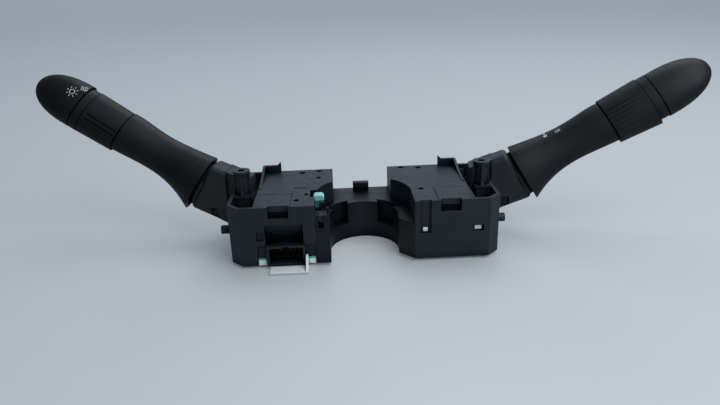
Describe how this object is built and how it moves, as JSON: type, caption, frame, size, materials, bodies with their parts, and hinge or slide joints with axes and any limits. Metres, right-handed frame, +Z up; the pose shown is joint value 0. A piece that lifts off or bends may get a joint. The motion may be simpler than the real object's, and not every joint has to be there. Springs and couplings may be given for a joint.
{
  "type": "combination stalk switch",
  "caption": "Steering column combination switch: C-shaped bracket with a lighting and a wiper unit, each with a turning and tilting stalk.",
  "frame": {"origin": "axis of the steering column opening, at the level of the face that the switch lies on", "axes": "+X to the wiper stalk, +Y to the closed rear of the bracket, +Z up along the column axis, towards the steering wheel"},
  "size_m": [0.4285, 0.0945, 0.1126],
  "materials": {
    "housing_plastic": "satin black moulded plastic with a fine grain",
    "bracket_plastic": "black moulded plastic, slightly smoother",
    "handle_plastic": "fine leather-like grain, soft sheen",
    "lever_plastic": "smooth dark moulded plastic",
    "base_plastic": "natural white moulded plastic",
    "board_green": "green contact board",
    "pawl_teal": "pale teal acetal",
    "rotor_plastic": "natural acetal",
    "pin_metal": "tinned brass terminals",
    "steel": "turned steel",
    "screw_metal": "zinc plated steel"
  },
  "bodies": {
    "switch_frame": {"column_bracket": "bracket_plastic", "lighting_housing": "housing_plastic", "wiper_housing": "housing_plastic", "lighting_base": "base_plastic", "wiper_base": "base_plastic", "lighting_board": "board_green", "wiper_board": "board_green", "lighting_connector": "housing_plastic", "wiper_connector": "housing_plastic", "lighting_connector_pins": "pin_metal", "wiper_connector_pins": "pin_metal", "housing_screws": "screw_metal", "cancel_spring": "steel", "turn_detent_cam": "rotor_plastic", "wiper_detent_cam": "rotor_plastic"},
    "turn_swing": {"turn_rotor": "rotor_plastic", "lighting_dip_pin": "steel"},
    "lighting_lever": {"lighting_lever_arm": "lever_plastic", "lighting_handle": "handle_plastic", "lighting_inner_tube": "steel", "lighting_collar": "handle_plastic", "lighting_plunger_spring": "steel"},
    "fog_ring_body": {"fog_ring": "handle_plastic"},
    "headlamp_knob_body": {"headlamp_knob": "handle_plastic", "headlamp_knob_shaft": "lever_plastic"},
    "lighting_plunger": {"lighting_detent_plunger": "steel"},
    "turn_slider": {"turn_contact_slider": "rotor_plastic"},
    "wiper_swing": {"wiper_rotor": "rotor_plastic", "wiper_dip_pin": "steel"},
    "wiper_lever": {"wiper_lever_arm": "lever_plastic", "wiper_handle": "handle_plastic", "wiper_inner_tube": "steel", "wiper_collar": "handle_plastic", "wiper_plunger_spring": "steel"},
    "interval_ring_body": {"interval_ring": "handle_plastic"},
    "rear_wiper_knob_body": {"rear_wiper_knob": "handle_plastic", "rear_wiper_knob_shaft": "lever_plastic"},
    "wiper_plunger": {"wiper_detent_plunger": "steel"},
    "wiper_slider": {"wiper_contact_slider": "rotor_plastic"},
    "pawl": {"cancel_pawl": "pawl_teal"}
  },
  "joints": [
    {"name": "turn_swing_hinge", "type": "hinge", "parent": "switch_frame", "child": "turn_swing", "pos_m": [-0.05819, 0.01882, 0.022], "axis": [0, 0, 1], "range_deg": [-10, 10]},
    {"name": "dip_flash_hinge", "type": "hinge", "parent": "turn_swing", "child": "lighting_lever", "pos_m": [-0.05819, 0.01882, 0.022], "axis": [0.2467, 0.9691, 0], "range_deg": [-5, 6], "stiffness_Nm_per_rad": 12},
    {"name": "fog_ring_turn", "type": "hinge", "parent": "lighting_lever", "child": "fog_ring_body", "pos_m": [-0.10674, 0.03118, 0.0399], "axis": [-0.8227, 0.2094, 0.5284], "range_deg": [-25, 25]},
    {"name": "headlamp_knob_turn", "type": "hinge", "parent": "lighting_lever", "child": "headlamp_knob_body", "pos_m": [-0.10674, 0.03118, 0.0399], "axis": [-0.8227, 0.2094, 0.5284], "range_deg": [-20, 40]},
    {"name": "lighting_plunger_slide", "type": "slide", "parent": "lighting_lever", "child": "lighting_plunger", "axis": [0.9691, -0.2467, 0], "range_m": [-0.0008, 0.0001], "stiffness_N_per_m": 600, "deforming": ["lighting_plunger_spring"]},
    {"name": "turn_slider_slide", "type": "slide", "parent": "switch_frame", "child": "turn_slider", "axis": [-0.2467, -0.9691, 0], "range_m": [-0.0026, 0.0026]},
    {"name": "wiper_swing_hinge", "type": "hinge", "parent": "switch_frame", "child": "wiper_swing", "pos_m": [0.05805, 0.03078, 0.022], "axis": [0, 0, 1], "range_deg": [-6, 18]},
    {"name": "washer_hinge", "type": "hinge", "parent": "wiper_swing", "child": "wiper_lever", "pos_m": [0.05805, 0.03078, 0.022], "axis": [-0.1302, -0.9915, 0], "range_deg": [-4, 6], "stiffness_Nm_per_rad": 12},
    {"name": "interval_ring_turn", "type": "hinge", "parent": "wiper_lever", "child": "interval_ring_body", "pos_m": [0.10772, 0.02426, 0.0399], "axis": [0.8417, -0.1105, 0.5284], "range_deg": [-40, 40]},
    {"name": "rear_wiper_knob_turn", "type": "hinge", "parent": "wiper_lever", "child": "rear_wiper_knob_body", "pos_m": [0.10772, 0.02426, 0.0399], "axis": [0.8417, -0.1105, 0.5284], "range_deg": [-30, 30]},
    {"name": "wiper_plunger_slide", "type": "slide", "parent": "wiper_lever", "child": "wiper_plunger", "axis": [-0.9915, 0.1302, 0], "range_m": [-0.0008, 0.0001], "stiffness_N_per_m": 600, "deforming": ["wiper_plunger_spring"]},
    {"name": "wiper_slider_slide", "type": "slide", "parent": "switch_frame", "child": "wiper_slider", "axis": [0.1302, 0.9915, 0], "range_m": [-0.0047, 0.0016]},
    {"name": "cancel_pawl_hinge", "type": "hinge", "parent": "switch_frame", "child": "pawl", "pos_m": [-0.0356, 0.0006, 0.034], "axis": [0, 0, 1], "range_deg": [-14, 14], "stiffness_Nm_per_rad": 0.05}
  ],
  "couplings": [
    {"joint": "turn_slider_slide", "follows": "turn_swing_hinge", "m_per_rad": -0.0145},
    {"joint": "wiper_slider_slide", "follows": "wiper_swing_hinge", "m_per_rad": -0.0145}
  ]
}
